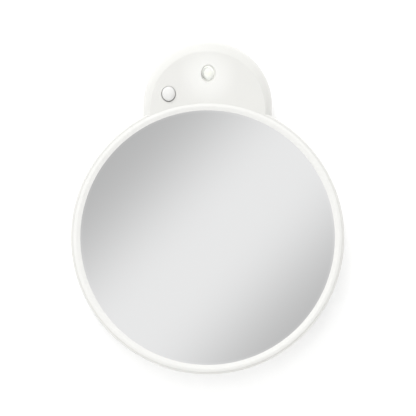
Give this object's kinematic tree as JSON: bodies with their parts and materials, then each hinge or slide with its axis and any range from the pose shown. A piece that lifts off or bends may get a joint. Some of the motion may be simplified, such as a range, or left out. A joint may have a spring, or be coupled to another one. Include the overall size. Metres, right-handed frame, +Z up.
{
  "type": "lighted suction cup mirror",
  "caption": "Round magnifying wall mirror with a lamp and push button on a half-round tab, a battery box behind it and suction cups that hold it to a smooth wall.",
  "frame": {"origin": "where the mirror's axis meets the wall plane that the suction cups' rims touch", "axes": "+Z up, -Y towards the viewer, so the mirror faces -Y and the wall is the plane y = 0; +X to the viewer's right"},
  "size_m": [0.14, 0.0262, 0.1709],
  "materials": {
    "white_shell": "moulded, satin gloss",
    "white_ring": "moulded, glossy",
    "mirror": "silvered concave glass",
    "foam": "closed-cell foam tape",
    "lamp_lens": "clear epoxy, lit",
    "clear_cup": "clear soft vinyl",
    "board": "solder mask",
    "dark_plastic": "moulded",
    "cell_can": "plain wrapped can",
    "resistor_body": "lacquered",
    "steel": "zinc plated",
    "nickel": "nickel plated",
    "red_wire": "insulation",
    "black_wire": "insulation"
  },
  "bodies": {
    "suction_cups": {"suction_cup_top": "clear_cup", "suction_cup_left": "clear_cup", "suction_cup_right": "clear_cup"},
    "head": {"front_housing": "white_shell", "bezel_ring": "white_ring", "mirror_glass": "mirror", "foam_tape_ring": "foam", "rear_cover": "white_shell", "housing_screw_tab_left": "steel", "housing_screw_tab_right": "steel", "housing_screw_left": "steel", "housing_screw_right": "steel", "housing_screw_bottom": "steel", "battery_cell_upper": "cell_can", "battery_cell_lower": "cell_can", "contact_positive": "nickel", "contact_negative": "nickel", "contact_bridge": "nickel", "contact_spring_upper": "nickel", "contact_spring_lower": "nickel", "led": "lamp_lens", "led_spacer": "white_shell", "led_lead_left": "steel", "led_lead_right": "steel", "circuit_board": "board", "resistor": "resistor_body", "board_screw_left": "steel", "board_screw_right": "steel", "wire_red": "red_wire", "wire_black": "black_wire", "switch_body": "dark_plastic"},
    "power_button": {"button_cap": "white_ring", "switch_plunger": "dark_plastic"},
    "battery_door": {"battery_door": "white_shell"}
  },
  "joints": [
    {"name": "head_lift_off", "type": "slide", "parent": "suction_cups", "child": "head", "axis": [0, 0, 1], "range_m": [0, 0.0105]},
    {"name": "power_button_press", "type": "slide", "parent": "head", "child": "power_button", "axis": [0, 1, 0], "range_m": [0, 0.0012], "stiffness_N_per_m": 1500, "springref_m": -0.0005},
    {"name": "battery_door_slide", "type": "slide", "parent": "head", "child": "battery_door", "axis": [0, 0, -1], "range_m": [0, 0.03]}
  ]
}
